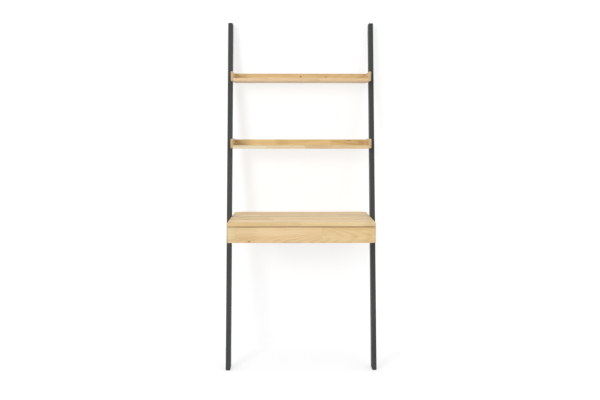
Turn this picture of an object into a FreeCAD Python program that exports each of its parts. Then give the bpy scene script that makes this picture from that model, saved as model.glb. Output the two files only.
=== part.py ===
import FreeCAD, Part
import os
import Sketcher
from collections import namedtuple

# A desk that leans on a wall: two rails, two tray shelves, and a desk with a drawer between them.
# X is to the right, Y towards the wall, Z up. The origin is on the floor, at the middle of the footprint.

# Driving sizes, in millimetres and degrees
SIZES = {
    # Rails and pads
    "inner_width": 685,
    "total_height": 1690,
    "lean_angle": 10.6,
    "rail_thick": 22,
    "rail_depth": 60,
    "rail_round": 3,
    "plumb_height": 60,
    "floor_pad_thick": 3,
    "wall_pad_thick": 3,
    "pad_inset": 4,
    # Tray shelves
    "top_shelf_drop": 298,
    "top_shelf_lead": 75,
    "top_back_height": 32,
    "lower_shelf_drop": 626,
    "lower_shelf_lead": 65,
    "lower_back_height": 28,
    "shelf_depth": 150,
    "shelf_board_thick": 15,
    "shelf_back_thick": 15,
    "cheek_thick": 11,
    "cheek_height": 45,
    "cheek_rise": 2,
    "cheek_corner": 7,
    "edge_round": 2,
    "wall_hole_dia": 6,
    "wall_hole_sink": 1,
    "wall_spacer_dia": 26,
    # Desk
    "desk_height": 730,
    "desk_depth": 440,
    "desk_lead": 222,
    "desk_top_thick": 18,
    "desk_panel_thick": 15,
    "desk_side_height": 70,
    # Drawer
    "shadow_gap": 3,
    "front_gap": 2,
    "drawer_front_thick": 16,
    "drawer_front_height": 73,
    "finger_bevel": 6,
    "drawer_panel_thick": 12,
    "drawer_box_height": 50,
    "drawer_head_room": 12,
    "drawer_rear_room": 29,
    "drawer_bottom_thick": 5,
    "drawer_bottom_rise": 8,
    "groove_depth": 5,
    "groove_clear": 0.3,
    "bumper_dia": 8,
    # Runners
    "runner_width": 12.5,
    "runner_height": 35,
    "runner_sheet": 1.2,
    "runner_front_room": 4,
    "runner_end_room": 30,
    "flange_room": 2,
    "ball_dia": 3.2,
    "ball_clear": 0.2,
    "track_depth": 0.5,
    "cage_sheet": 0.8,
    "cage_play": 0.6,
    "cage_rim": 1,
    "cage_length": 96,
    "cage_end_room": 2,
    "ball_end_room": 6,
    # Bolts and threaded sleeves
    "bolt_dia": 6,
    "bolt_clear": 0.3,
    "bolt_head_dia": 15,
    "bolt_head_thick": 2,
    "bolt_head_clear": 0.5,
    "bolt_sink": 2.5,
    "bolt_key": 4,
    "bolt_key_depth": 3,
    "bolt_tip_room": 1,
    "bolt_edge": 15,
    "bolt_pitch": 22,
    "desk_bolt_pitch": 30,
    "insert_dia": 10,
    "thread_clear": 0.2,
    # Dowels
    "dowel_dia": 6,
    "dowel_length": 28,
    "dowel_face_depth": 8,
    "dowel_end_room": 0.5,
    "glue_clear": 0.1,
    "shelf_dowel_inset": 25,
    "shelf_dowel_pitch": 35,
    "back_dowel_inset": 60,
    "back_dowel_pitch": 160,
    "desk_dowel_inset": 40,
    "corner_dowel_inset": 15,
    "drawer_dowel_inset": 10,
    # Screws
    "screw_dia": 3.2,
    "screw_clear": 0.15,
    "screw_head_dia": 7,
    "screw_head_thick": 1,
    "screw_slot_length": 4.2,
    "screw_slot_width": 0.9,
    "screw_slot_depth": 0.6,
    "runner_screw_length": 9,
    "runner_screw_inset": 30,
    "front_screw_length": 24,
    "front_screw_inset": 60,
    "bottom_screw_length": 14,
    "bottom_screw_inset": 100,
}
BALLS_PER_ROW = 6
BACK_DOWELS = 2
SIDES = ("left", "right")
TOUCH = 1e-6
UP, DOWN, FORWARD, BACKWARD = (0, 0, 1), (0, 0, -1), (0, -1, 0), (0, 1, 0)
INWARD = {"left": (1, 0, 0), "right": (-1, 0, 0)}
OUTWARD = {"left": (-1, 0, 0), "right": (1, 0, 0)}

doc = FreeCAD.newDocument("ladder_desk")
sheet = doc.addObject("Spreadsheet::Sheet", "dims")
for row, (alias, number) in enumerate(SIZES.items(), 1):
    sheet.set(f"A{row}", alias)
    sheet.set(f"B{row}", str(number))
    sheet.setAlias(f"B{row}", alias)
doc.recompute()

# Places that several pieces share, as expressions of the driving sizes
SLOPE = "tan(dims.lean_angle * 1 deg)"
RAIL_RUN = "dims.rail_depth / cos(dims.lean_angle * 1 deg)"
PLUMB_FOOT = "(dims.total_height - dims.plumb_height)"
WALL_Y = (
    f"((dims.desk_lead + {RAIL_RUN} + dims.wall_pad_thick"
    f" + {SLOPE} * ({PLUMB_FOOT} - dims.desk_height)) / 2)"
)
FRONT_Y = f"(-{WALL_Y})"
HALF_WIDTH = "(dims.inner_width / 2)"
RAIL_FACE = f"({HALF_WIDTH} + dims.rail_thick)"
BOLT_HOLE = "dims.bolt_dia + 2 * dims.bolt_clear"
BOLT_HEAD_HOLE = "dims.bolt_head_dia + 2 * dims.bolt_head_clear"
INSERT_HOLE = "dims.insert_dia + 2 * dims.glue_clear"
INSERT_LENGTH = "dims.cheek_thick"
DOWEL_HOLE = "dims.dowel_dia + 2 * dims.glue_clear"
FACE_HOLE_DEPTH = "dims.dowel_face_depth + dims.dowel_end_room"
DOWEL_END_DEPTH = "(dims.dowel_length - dims.dowel_face_depth)"
END_HOLE_DEPTH = f"{DOWEL_END_DEPTH} + dims.dowel_end_room"
SCREW_HOLE = "dims.screw_dia + 2 * dims.screw_clear"

DESK_UNDER = "(dims.desk_height - dims.desk_top_thick)"
DESK_SIDE_Z = f"({DESK_UNDER} - dims.desk_side_height)"
DESK_SIDE_Y = f"({FRONT_Y} + dims.drawer_front_thick + dims.front_gap)"
DESK_SIDE_LENGTH = "(dims.desk_depth - dims.drawer_front_thick - dims.front_gap)"
DESK_BACK_WIDTH = "(dims.inner_width - 2 * dims.desk_panel_thick)"
DRAWER_FRONT_Z = f"({DESK_UNDER} - dims.shadow_gap - dims.drawer_front_height)"
BOX_Y = f"({FRONT_Y} + dims.drawer_front_thick)"
BOX_Z = f"({DESK_UNDER} - dims.drawer_head_room - dims.drawer_box_height)"
BOX_WIDTH = f"({DESK_BACK_WIDTH} - 2 * dims.runner_width)"
BOX_INNER = f"({BOX_WIDTH} - 2 * dims.drawer_panel_thick)"
BOX_DEPTH = "(dims.desk_depth - dims.drawer_front_thick - dims.desk_panel_thick - dims.drawer_rear_room)"
BOTTOM_TOP = "(dims.drawer_bottom_rise + dims.drawer_bottom_thick)"
RUNNER_Y = f"({DESK_SIDE_Y} + dims.runner_front_room)"
RUNNER_LENGTH = f"({BOX_DEPTH} - dims.runner_end_room)"
RUNNER_MID_Z = f"({BOX_Z} + dims.drawer_box_height / 2)"
RUNNER_Z = f"({RUNNER_MID_Z} - dims.runner_height / 2)"
RUNNER_FACE = f"({DESK_BACK_WIDTH} / 2)"
FLANGE_REACH = "(dims.runner_width - dims.flange_room)"
BALL_GAP = "(dims.ball_dia + 2 * dims.ball_clear - 2 * dims.track_depth)"
BALL_HOLE = "dims.ball_dia + 2 * dims.ball_clear"
CAGE_NEAR = "(dims.runner_sheet + dims.screw_head_thick + dims.cage_play)"
CAGE_FAR = f"({CAGE_NEAR} + dims.cage_sheet)"
FLANGE_TIP = f"({CAGE_FAR} + dims.cage_play)"
BALL_DEPTH = f"(({FLANGE_TIP} + {FLANGE_REACH}) / 2)"
BALL_RISE = f"(dims.runner_sheet + {BALL_GAP} / 2)"
CAGE_REACH = f"({BALL_DEPTH} + dims.ball_dia / 2 + dims.cage_rim)"
DRAWER_TRAVEL = f"({RUNNER_LENGTH} - dims.cage_length - 2 * dims.cage_end_room)"
CAGE_Y = f"({RUNNER_Y} + {DRAWER_TRAVEL} / 2 + dims.cage_end_room)"

TOP_SHELF_Z = "(dims.total_height - dims.top_shelf_drop)"
LOWER_SHELF_Z = "(dims.total_height - dims.lower_shelf_drop)"
SHELVES = {
    "top": (TOP_SHELF_Z, "dims.top_shelf_lead", "dims.top_back_height"),
    "lower": (LOWER_SHELF_Z, "dims.lower_shelf_lead", "dims.lower_back_height"),
}


def value(expression):
    """The number that an expression of the sheet's sizes gives."""
    return float(sheet.evalExpression(expression))


def rail_front(height):
    """Y of the rails' front faces at a height."""
    return f"({FRONT_Y} + dims.desk_lead + {SLOPE} * ({height} - dims.desk_height))"


def shelf_front(height, lead):
    return f"({rail_front(height)} - {lead})"


def x_at(side, distance):
    """X of a place on the left or right side, from its distance to the middle plane."""
    return f"(-({distance}))" if side == "left" else f"({distance})"


def corner_x(side, outer, thick):
    """The lower X of a piece whose outer face is at a distance from the middle plane."""
    return f"(-({outer}))" if side == "left" else f"(({outer}) - ({thick}))"


def outward_start(side, distance, depth):
    """Lower X of a hole that enters a face and runs away from the middle plane."""
    return f"(-({distance}) - ({depth}))" if side == "left" else f"({distance})"


def inward_start(side, distance, depth):
    """Lower X of a hole that enters a face and runs towards the middle plane."""
    return f"(-({distance}))" if side == "left" else f"(({distance}) - ({depth}))"


# Building blocks. A body is drawn from its lowest corner, and its places are given in the desk's frame.
PLANES = {"X": "YZ_Plane", "Y": "XZ_Plane", "Z": "XY_Plane"}
ACROSS = {"X": "YZ", "Y": "XZ", "Z": "XY"}
corners = {}
nodes = []


def new_body(label, corner):
    body = doc.addObject("PartDesign::Body", label)
    body.Label = label
    corners[label] = dict(zip("XYZ", corner))
    for axis, expression in zip("xyz", corner):
        body.setExpression(f"Placement.Base.{axis}", expression)
    nodes.append(body)
    return body


def new_sketch(body, axis, start):
    """A sketch square to an axis, on the plane that crosses the axis at the start."""
    plane = next(feature for feature in body.Origin.OriginFeatures if feature.Role == PLANES[axis])
    sketch = body.newObject("Sketcher::SketchObject", f"{body.Label}_sketch")
    sketch.AttachmentSupport = [(plane, "")]
    sketch.MapMode = "FlatFace"
    sign = "-" if axis == "Y" else ""
    along = corners[body.Label][axis]
    sketch.setExpression("AttachmentOffset.Base.z", f"{sign}(({start}) - ({along}))")
    return sketch


def local_places(body, axis, places):
    first, second = ACROSS[axis]
    corner = corners[body.Label]
    return [(f"({a}) - ({corner[first]})", f"({b}) - ({corner[second]})") for a, b in places]


def pin_point(sketch, geometry, point, place):
    """Ties a point of a sketch to its two distances from the sketch's origin."""
    for kind, axis, distance in (("DistanceX", -2, place[0]), ("DistanceY", -1, place[1])):
        number = value(distance)
        if abs(number) < TOUCH:
            sketch.addConstraint(Sketcher.Constraint("PointOnObject", geometry, point, axis))
            continue
        index = sketch.addConstraint(Sketcher.Constraint(kind, -1, 1, geometry, point, number))
        sketch.setExpression(f"Constraints[{index}]", distance)


def draw_outline(sketch, places):
    points = [FreeCAD.Vector(value(x), value(y), 0) for x, y in places]
    count = len(points)
    for index in range(count):
        sketch.addGeometry(Part.LineSegment(points[index], points[(index + 1) % count]))
    for index in range(count):
        sketch.addConstraint(Sketcher.Constraint("Coincident", index, 2, (index + 1) % count, 1))
    for index, place in enumerate(places):
        pin_point(sketch, index, 1, place)


def draw_circles(sketch, places, diameter):
    for x, y in places:
        centre = FreeCAD.Vector(value(x), value(y), 0)
        circle = Part.Circle(centre, FreeCAD.Vector(0, 0, 1), value(diameter) / 2)
        geometry = sketch.addGeometry(circle)
        pin_point(sketch, geometry, 3, (x, y))
        index = sketch.addConstraint(Sketcher.Constraint("Diameter", geometry, value(diameter)))
        sketch.setExpression(f"Constraints[{index}]", diameter)


def pad_outline(label, corner, axis, places, length):
    """A body whose first solid is an outline square to an axis, padded along it from the corner."""
    body = new_body(label, corner)
    sketch = new_sketch(body, axis, corners[label][axis])
    draw_outline(sketch, local_places(body, axis, places))
    pad = body.newObject("PartDesign::Pad", f"{label}_pad")
    pad.Profile = sketch
    pad.Reversed = axis == "Y"
    pad.setExpression("Length", length)
    doc.recompute()
    return body


def rectangle(low, high, bottom, top):
    """The four corners of a rectangle, in order."""
    return [(low, bottom), (high, bottom), (high, top), (low, top)]


def panel(label, corner, size):
    x, y, _ = corner
    outline = rectangle(x, f"{x} + {size[0]}", y, f"{y} + {size[1]}")
    return pad_outline(label, corner, "Z", outline, size[2])


def cut(body, sketch, axis, depth):
    before = body.Shape.Volume
    pocket = body.newObject("PartDesign::Pocket", f"{body.Label}_cut")
    pocket.Profile = sketch
    pocket.Type = "Length"
    pocket.Reversed = axis != "Y"
    pocket.setExpression("Length", depth)
    doc.recompute()
    if body.Shape.Volume >= before:
        raise ValueError(f"a cut along {axis} missed {body.Label}")


def bore(body, axis, places, diameter, start, depth):
    """Round holes along an axis, from a start plane towards the axis's plus side."""
    sketch = new_sketch(body, axis, start)
    draw_circles(sketch, local_places(body, axis, places), diameter)
    cut(body, sketch, axis, depth)


def groove(body, axis, places, start, depth):
    sketch = new_sketch(body, axis, start)
    draw_outline(sketch, local_places(body, axis, places))
    cut(body, sketch, axis, depth)


EdgeView = namedtuple("EdgeView", "x y z way")


def view_of(edge):
    """An edge's middle in its body's corner frame, and its way: X, Y, Z, slant or round."""
    halfway = (edge.FirstParameter + edge.LastParameter) / 2
    middle = edge.valueAt(halfway)
    way = "round"
    if edge.Curve.TypeId == "Part::GeomLine":
        direction = edge.tangentAt(halfway)
        straight = [axis for axis, part in zip("XYZ", direction) if abs(abs(part) - 1) < TOUCH]
        way = straight[0] if straight else "slant"
    return EdgeView(middle.x, middle.y, middle.z, way)


def dress(body, kind, size, wanted):
    """Rounds or bevels the edges that a test picks by their view."""
    base = body.Tip
    edges = enumerate(base.Shape.Edges, 1)
    names = [f"Edge{index}" for index, edge in edges if wanted(view_of(edge))]
    feature = body.newObject(f"PartDesign::{kind}", f"{body.Label}_{kind.lower()}")
    feature.Base = (base, names)
    feature.setExpression("Radius" if kind == "Fillet" else "Size", size)
    doc.recompute()


def is_at(number, expression):
    return abs(number - value(expression)) < TOUCH


def turned(label, steps):
    """A master of round steps along Z. Each step is a diameter, a start and a length."""
    cylinders = []
    for diameter, start, length in steps:
        cylinder = doc.addObject("Part::Cylinder", f"{label}_step")
        cylinder.setExpression("Radius", f"({diameter}) / 2")
        cylinder.setExpression("Height", length)
        cylinder.setExpression("Placement.Base.z", start)
        cylinders.append(cylinder)
    if len(cylinders) == 1:
        return cylinders[0]
    fused = doc.addObject("Part::MultiFuse", label)
    fused.Shapes = cylinders
    return fused


def cut_from(label, base, tool):
    result = doc.addObject("Part::Cut", label)
    result.Base = base
    result.Tool = tool
    doc.recompute()
    return result


def group(label, master, places):
    """A node of identical pieces, each at a point and pointing along a direction."""
    doc.recompute()
    copies = []
    for point, direction in places:
        copy = master.Shape.copy()
        spot = FreeCAD.Vector(*[value(expression) for expression in point])
        turn = FreeCAD.Rotation(FreeCAD.Vector(0, 0, 1), FreeCAD.Vector(*direction))
        copy.Placement = FreeCAD.Placement(spot, turn).multiply(copy.Placement)
        copies.append(copy)
    node = doc.addObject("Part::Feature", label)
    node.Label = label
    node.Shape = Part.makeCompound(copies)
    nodes.append(node)


# Where bolts, dowels and screws go, as places in the desk's frame
def shelf_bolts(height):
    z = f"({height} + (dims.shelf_board_thick + dims.cheek_rise) / 2)"
    first = f"({rail_front(z)} + dims.bolt_edge)"
    return [(first, z), (f"({first} + dims.bolt_pitch)", z)]


def desk_bolts():
    places = []
    for sign in "-+":
        z = f"({DESK_SIDE_Z} + (dims.desk_side_height {sign} dims.desk_bolt_pitch) / 2)"
        places.append((f"({rail_front(z)} + {RAIL_RUN} / 2)", z))
    return places


def board_dowels(height, lead):
    z = f"({height} + dims.shelf_board_thick / 2)"
    first = f"({shelf_front(height, lead)} + dims.shelf_dowel_inset)"
    return [(first, z), (f"({first} + dims.shelf_dowel_pitch)", z)]


def back_end_dowel(height, lead, back_height):
    y = f"({shelf_front(height, lead)} + dims.shelf_depth - dims.shelf_back_thick / 2)"
    return (y, f"({height} + dims.shelf_board_thick + {back_height} / 2)")


def back_foot_dowels():
    """X of the dowels that stand in a shelf board and hold its back."""
    outermost = f"({HALF_WIDTH} - dims.cheek_thick - dims.back_dowel_inset)"
    distances = [f"({outermost} - {index} * dims.back_dowel_pitch)" for index in range(BACK_DOWELS)]
    return [x_at(side, distance) for side in SIDES for distance in distances]


def desk_side_dowels():
    """Y of the dowels between the desk's sides and its top."""
    rear = f"({DESK_SIDE_Y} + {DESK_SIDE_LENGTH} - dims.desk_dowel_inset)"
    return [f"({DESK_SIDE_Y} + dims.desk_dowel_inset)", rear]


def desk_back_dowels():
    """X of the dowels between the desk's back and its top."""
    distance = f"({DESK_BACK_WIDTH} / 2 - dims.desk_dowel_inset)"
    return [x_at("left", distance), "0", x_at("right", distance)]


def desk_corner_dowels():
    y = f"({FRONT_Y} + dims.desk_depth - dims.desk_panel_thick / 2)"
    low = f"({DESK_SIDE_Z} + dims.corner_dowel_inset)"
    high = f"({DESK_UNDER} - 2 * dims.corner_dowel_inset)"
    return [(y, low), (y, high)]


def drawer_dowels(y):
    low = f"({BOX_Z} + {BOTTOM_TOP} + dims.drawer_dowel_inset)"
    high = f"({BOX_Z} + dims.drawer_box_height - dims.drawer_dowel_inset)"
    return [(y, low), (y, high)]


def runner_screws():
    """Y of the screws of a runner member."""
    first = f"({RUNNER_Y} + dims.runner_screw_inset)"
    last = f"({RUNNER_Y} + {RUNNER_LENGTH} - dims.runner_screw_inset)"
    return [first, f"(({first} + {last}) / 2)", last]


def front_screws():
    """X of the screws that hold the drawer front."""
    outer = f"({BOX_INNER} / 2 - dims.front_screw_inset)"
    inner = f"({outer} / 3)"
    return [x_at("left", outer), x_at("left", inner), x_at("right", inner), x_at("right", outer)]


def bottom_screws():
    """X of the screws under the drawer's back."""
    distance = f"({BOX_INNER} / 2 - dims.bottom_screw_inset)"
    return [x_at("left", distance), "0", x_at("right", distance)]


# Rails with their pads
def make_rail(side):
    x = corner_x(side, RAIL_FACE, "dims.rail_thick")
    foot_y = rail_front("dims.floor_pad_thick")
    plumb_y = f"({WALL_Y} - dims.wall_pad_thick)"
    outline = [
        (foot_y, "dims.floor_pad_thick"),
        (f"({foot_y} + {RAIL_RUN})", "dims.floor_pad_thick"),
        (plumb_y, PLUMB_FOOT),
        (plumb_y, "dims.total_height"),
        (rail_front("dims.total_height"), "dims.total_height"),
    ]
    rail = pad_outline(f"rail_{side}", (x, foot_y, "dims.floor_pad_thick"), "X", outline, "dims.rail_thick")
    top_z = value("dims.total_height - dims.floor_pad_thick")
    plumb_end = value(f"{plumb_y} - {foot_y}")

    def eased(edge):
        at_top = abs(edge.z - top_z) < TOUCH and edge.y < plumb_end - TOUCH
        return edge.way == "slant" or at_top

    dress(rail, "Fillet", "dims.rail_round", eased)
    bolts = desk_bolts()
    for height, _, _ in SHELVES.values():
        bolts += shelf_bolts(height)
    bore(rail, "X", bolts, BOLT_HOLE, x, "dims.rail_thick")
    bore(rail, "X", bolts, BOLT_HEAD_HOLE, inward_start(side, RAIL_FACE, "dims.bolt_sink"), "dims.bolt_sink")


def make_pads(side):
    width = "(dims.rail_thick - 2 * dims.pad_inset)"
    x = corner_x(side, f"{RAIL_FACE} - dims.pad_inset", width)
    foot_y = f"({rail_front('dims.floor_pad_thick')} + dims.pad_inset)"
    foot_size = (width, f"({RAIL_RUN} - 2 * dims.pad_inset)", "dims.floor_pad_thick")
    panel(f"floor_pad_{side}", (x, foot_y, "0"), foot_size)
    wall_corner = (x, f"({WALL_Y} - dims.wall_pad_thick)", f"({PLUMB_FOOT} + dims.pad_inset)")
    wall_size = (width, "dims.wall_pad_thick", "(dims.plumb_height - 2 * dims.pad_inset)")
    panel(f"wall_pad_{side}", wall_corner, wall_size)


# A tray shelf: a board and a low back between two cheeks
def make_cheek(name, side):
    height, lead, back_height = SHELVES[name]
    front = shelf_front(height, lead)
    x = corner_x(side, HALF_WIDTH, "dims.cheek_thick")
    size = ("dims.cheek_thick", "dims.shelf_depth", "dims.cheek_height")
    cheek = panel(f"{name}_shelf_cheek_{side}", (x, front, f"({height} + dims.cheek_rise)"), size)
    dress(cheek, "Fillet", "dims.cheek_corner", lambda edge: edge.way == "X" and is_at(edge.y, "0"))
    depth = value("dims.shelf_depth")
    dress(cheek, "Fillet", "dims.edge_round", lambda edge: edge.way != "X" and edge.y < depth - TOUCH)
    bore(cheek, "X", shelf_bolts(height), INSERT_HOLE, x, "dims.cheek_thick")
    dowels = board_dowels(height, lead) + [back_end_dowel(height, lead, back_height)]
    start = outward_start(side, f"{HALF_WIDTH} - dims.cheek_thick", FACE_HOLE_DEPTH)
    bore(cheek, "X", dowels, DOWEL_HOLE, start, FACE_HOLE_DEPTH)


def make_shelf(name):
    height, lead, back_height = SHELVES[name]
    front = shelf_front(height, lead)
    end = f"({HALF_WIDTH} - dims.cheek_thick)"
    width = f"(2 * {end})"
    x = f"(-{end})"
    for side in SIDES:
        make_cheek(name, side)

    board_size = (width, "dims.shelf_depth", "dims.shelf_board_thick")
    board = panel(f"{name}_shelf_board", (x, front, height), board_size)
    dress(board, "Fillet", "dims.edge_round", lambda edge: edge.way == "X" and is_at(edge.y, "0"))
    back_y = f"({front} + dims.shelf_depth - dims.shelf_back_thick)"
    back_z = f"({height} + dims.shelf_board_thick)"
    back = panel(f"{name}_shelf_back", (x, back_y, back_z), (width, "dims.shelf_back_thick", back_height))
    dress(back, "Fillet", "dims.edge_round", lambda edge: edge.way == "X" and is_at(edge.z, back_height))

    end_dowel = back_end_dowel(height, lead, back_height)
    for side in SIDES:
        start = inward_start(side, end, END_HOLE_DEPTH)
        bore(board, "X", board_dowels(height, lead), DOWEL_HOLE, start, END_HOLE_DEPTH)
        bore(back, "X", [end_dowel], DOWEL_HOLE, start, END_HOLE_DEPTH)
    feet = [(foot_x, end_dowel[0]) for foot_x in back_foot_dowels()]
    bore(board, "Z", feet, DOWEL_HOLE, f"{back_z} - ({FACE_HOLE_DEPTH})", FACE_HOLE_DEPTH)
    bore(back, "Z", feet, DOWEL_HOLE, back_z, END_HOLE_DEPTH)
    return back, end_dowel, back_y


def make_wall_hole(back, end_dowel, back_y):
    """The wall screw's hole in the middle of the top shelf's back, and the spacer from there to the wall."""
    bore(back, "Y", [("0", end_dowel[1])], "dims.wall_hole_dia", back_y, "dims.shelf_back_thick")
    end_of_back = value(f"2 * ({HALF_WIDTH} - dims.cheek_thick)")

    def mouth(edge):
        return edge.way == "round" and is_at(edge.y, "0") and TOUCH < edge.x < end_of_back - TOUCH

    dress(back, "Chamfer", "dims.wall_hole_sink", mouth)
    rear_y = f"({back_y} + dims.shelf_back_thick)"
    length = f"({WALL_Y} - {rear_y})"
    blank = turned("spacer_blank", [("dims.wall_spacer_dia", "0", length)])
    hole = turned("spacer_hole", [("dims.wall_hole_dia", "0", length)])
    spacer = cut_from("spacer_master", blank, hole)
    group("wall_spacer", spacer, [(("0", rear_y, end_dowel[1]), BACKWARD)])


# The desk's top and the box under it
def make_desk():
    top_size = ("dims.inner_width", "dims.desk_depth", "dims.desk_top_thick")
    top = panel("desk_top", (f"(-{HALF_WIDTH})", FRONT_Y, DESK_UNDER), top_size)
    top_face = value("dims.desk_top_thick")
    dress(top, "Fillet", "dims.edge_round", lambda edge: is_at(edge.y, "0") or edge.z > top_face - TOUCH)
    back_y = f"({FRONT_Y} + dims.desk_depth - dims.desk_panel_thick)"
    back_corner = (f"(-{DESK_BACK_WIDTH} / 2)", back_y, DESK_SIDE_Z)
    back_size = (DESK_BACK_WIDTH, "dims.desk_panel_thick", "dims.desk_side_height")
    back = panel("desk_back", back_corner, back_size)
    back_mid = f"({back_y} + dims.desk_panel_thick / 2)"
    top_dowels = [(x, back_mid) for x in desk_back_dowels()]
    bore(back, "Z", top_dowels, DOWEL_HOLE, f"{DESK_UNDER} - ({END_HOLE_DEPTH})", END_HOLE_DEPTH)

    insert_depth = f"({INSERT_LENGTH} + dims.bolt_tip_room)"
    pilot_depth = "(dims.runner_screw_length - dims.runner_sheet + dims.dowel_end_room)"
    inner_face = f"({DESK_BACK_WIDTH} / 2)"
    for side in SIDES:
        x = corner_x(side, HALF_WIDTH, "dims.desk_panel_thick")
        size = ("dims.desk_panel_thick", DESK_SIDE_LENGTH, "dims.desk_side_height")
        wall = panel(f"desk_side_{side}", (x, DESK_SIDE_Y, DESK_SIDE_Z), size)
        wall_mid = x_at(side, f"{HALF_WIDTH} - dims.desk_panel_thick / 2")
        tops = [(wall_mid, y) for y in desk_side_dowels()]
        top_dowels += tops
        bore(wall, "Z", tops, DOWEL_HOLE, f"{DESK_UNDER} - ({END_HOLE_DEPTH})", END_HOLE_DEPTH)
        bore(wall, "X", desk_bolts(), INSERT_HOLE, inward_start(side, HALF_WIDTH, insert_depth), insert_depth)
        start = outward_start(side, inner_face, FACE_HOLE_DEPTH)
        bore(wall, "X", desk_corner_dowels(), DOWEL_HOLE, start, FACE_HOLE_DEPTH)
        end_start = inward_start(side, inner_face, END_HOLE_DEPTH)
        bore(back, "X", desk_corner_dowels(), DOWEL_HOLE, end_start, END_HOLE_DEPTH)
        pilots = [(y, RUNNER_MID_Z) for y in runner_screws()]
        bore(wall, "X", pilots, SCREW_HOLE, outward_start(side, inner_face, pilot_depth), pilot_depth)
    bore(top, "Z", top_dowels, DOWEL_HOLE, DESK_UNDER, FACE_HOLE_DEPTH)


# The drawer: a box of thin panels behind a full-width front
def make_drawer_front():
    size = ("dims.inner_width", "dims.drawer_front_thick", "dims.drawer_front_height")
    front = panel("drawer_front", (f"(-{HALF_WIDTH})", FRONT_Y, DRAWER_FRONT_Z), size)
    dress(front, "Fillet", "dims.edge_round", lambda edge: is_at(edge.y, "0"))
    rear = value("dims.drawer_front_thick")
    dress(front, "Chamfer", "dims.finger_bevel", lambda edge: is_at(edge.z, "0") and edge.y > rear - TOUCH)
    depth = "(dims.front_screw_length - dims.drawer_panel_thick + dims.dowel_end_room)"
    pilots = [(x, RUNNER_MID_Z) for x in front_screws()]
    bore(front, "Y", pilots, SCREW_HOLE, f"{BOX_Y} - {depth}", depth)


def make_drawer_box():
    thick = "dims.drawer_panel_thick"
    inner_x = f"(-{BOX_INNER} / 2)"
    rear_y = f"({BOX_Y} + {BOX_DEPTH} - {thick})"
    bottom_z = f"({BOX_Z} + dims.drawer_bottom_rise)"
    groove_top = f"({bottom_z} + dims.drawer_bottom_thick + dims.groove_clear)"
    back_z = f"({BOX_Z} + {BOTTOM_TOP})"
    back_height = f"(dims.drawer_box_height - {BOTTOM_TOP})"

    front = panel("drawer_box_front", (inner_x, BOX_Y, BOX_Z), (BOX_INNER, thick, "dims.drawer_box_height"))
    groove_y = f"({BOX_Y} + {thick} - dims.groove_depth)"
    front_rear = f"({BOX_Y} + {thick})"
    groove(front, "X", rectangle(groove_y, front_rear, bottom_z, groove_top), inner_x, BOX_INNER)
    bore(front, "Y", [(x, RUNNER_MID_Z) for x in front_screws()], SCREW_HOLE, BOX_Y, thick)

    back = panel("drawer_back", (inner_x, rear_y, back_z), (BOX_INNER, thick, back_height))
    screw_y = f"({rear_y} + {thick} / 2)"
    under = [(x, screw_y) for x in bottom_screws()]
    pilot = "(dims.bottom_screw_length - dims.drawer_bottom_thick + dims.dowel_end_room)"
    bore(back, "Z", under, SCREW_HOLE, back_z, pilot)

    tongue = "(dims.groove_depth - dims.groove_clear)"
    bottom_y = f"({front_rear} - {tongue})"
    bottom_length = f"({BOX_DEPTH} - {thick} + {tongue})"
    bottom_corner = (f"({inner_x} - {tongue})", bottom_y, bottom_z)
    bottom_size = (f"({BOX_INNER} + 2 * {tongue})", bottom_length, "dims.drawer_bottom_thick")
    bottom = panel("drawer_bottom", bottom_corner, bottom_size)
    bore(bottom, "Z", under, SCREW_HOLE, bottom_z, "dims.drawer_bottom_thick")

    inner_face = f"({BOX_INNER} / 2)"
    pilot_depth = "(dims.runner_screw_length - dims.runner_sheet + dims.dowel_end_room)"
    joints = drawer_dowels(f"({BOX_Y} + {thick} / 2)"), drawer_dowels(screw_y)
    for side in SIDES:
        x = corner_x(side, f"{BOX_WIDTH} / 2", thick)
        wall = panel(f"drawer_side_{side}", (x, BOX_Y, BOX_Z), (thick, BOX_DEPTH, "dims.drawer_box_height"))
        slot_start = outward_start(side, inner_face, "dims.groove_depth")
        rear = f"({BOX_Y} + {BOX_DEPTH})"
        slot = rectangle(BOX_Y, rear, bottom_z, groove_top)
        groove(wall, "X", slot, slot_start, "dims.groove_depth")
        start = outward_start(side, inner_face, FACE_HOLE_DEPTH)
        bore(wall, "X", joints[0] + joints[1], DOWEL_HOLE, start, FACE_HOLE_DEPTH)
        end_start = inward_start(side, inner_face, END_HOLE_DEPTH)
        bore(front, "X", joints[0], DOWEL_HOLE, end_start, END_HOLE_DEPTH)
        bore(back, "X", joints[1], DOWEL_HOLE, end_start, END_HOLE_DEPTH)
        pilots = [(y, RUNNER_MID_Z) for y in runner_screws()]
        bore(wall, "X", pilots, SCREW_HOLE, inward_start(side, f"{BOX_WIDTH} / 2", pilot_depth), pilot_depth)


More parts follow.
